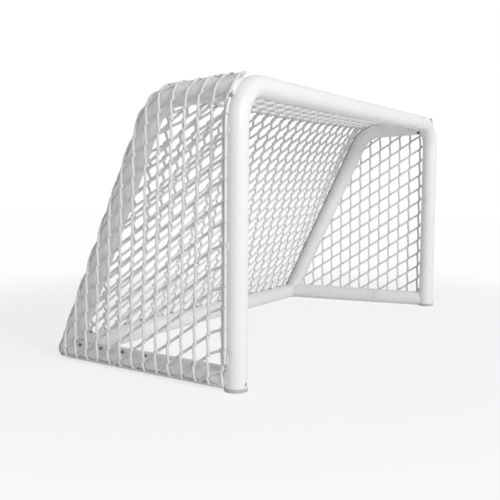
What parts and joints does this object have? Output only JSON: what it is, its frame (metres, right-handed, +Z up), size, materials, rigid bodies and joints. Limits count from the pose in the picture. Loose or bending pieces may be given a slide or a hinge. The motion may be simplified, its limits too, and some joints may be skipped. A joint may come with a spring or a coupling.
{
  "type": "hockey goal net",
  "caption": "Small white hockey goal: bent steel tube frame with posts and crossbar, sloping rear stays, a tube base and white mesh netting over the top, sides and back.",
  "frame": {"origin": "on the floor, under the middle of the goal's box", "axes": "+Z up, the mouth faces -Y, +X to the right of someone who looks into the mouth"},
  "size_m": [1.2316, 0.4988, 0.5812],
  "materials": {
    "tube_paint": "satin white powder coat",
    "weld_paint": "white paint over weld",
    "rod_paint": "satin white powder coat",
    "cap_plastic": "matte moulded",
    "net_twine": "braided twine",
    "border_cord": "braided cord",
    "peg_metal": "dulled"
  },
  "bodies": {
    "root": {"front_frame": "tube_paint", "left_stay": "tube_paint", "right_stay": "tube_paint", "left_base_rail": "tube_paint", "right_base_rail": "tube_paint", "rear_bar": "tube_paint", "left_rear_corner": "weld_paint", "right_rear_corner": "weld_paint", "left_foot_cap": "cap_plastic", "right_foot_cap": "cap_plastic", "left_post_rod": "rod_paint", "right_post_rod": "rod_paint", "crossbar_rod": "rod_paint", "rod_tack_welds": "weld_paint", "stay_top_welds": "weld_paint", "base_post_welds": "weld_paint", "rear_corner_welds": "weld_paint", "rear_bar_welds": "weld_paint", "left_side_net": "net_twine", "right_side_net": "net_twine", "top_net": "net_twine", "back_net": "net_twine", "top_rear_cord": "border_cord", "left_base_cord": "border_cord", "right_base_cord": "border_cord", "rear_base_cord": "border_cord", "left_base_pegs": "peg_metal", "right_base_pegs": "peg_metal", "rear_bar_pegs": "peg_metal"}
  },
  "joints": []
}
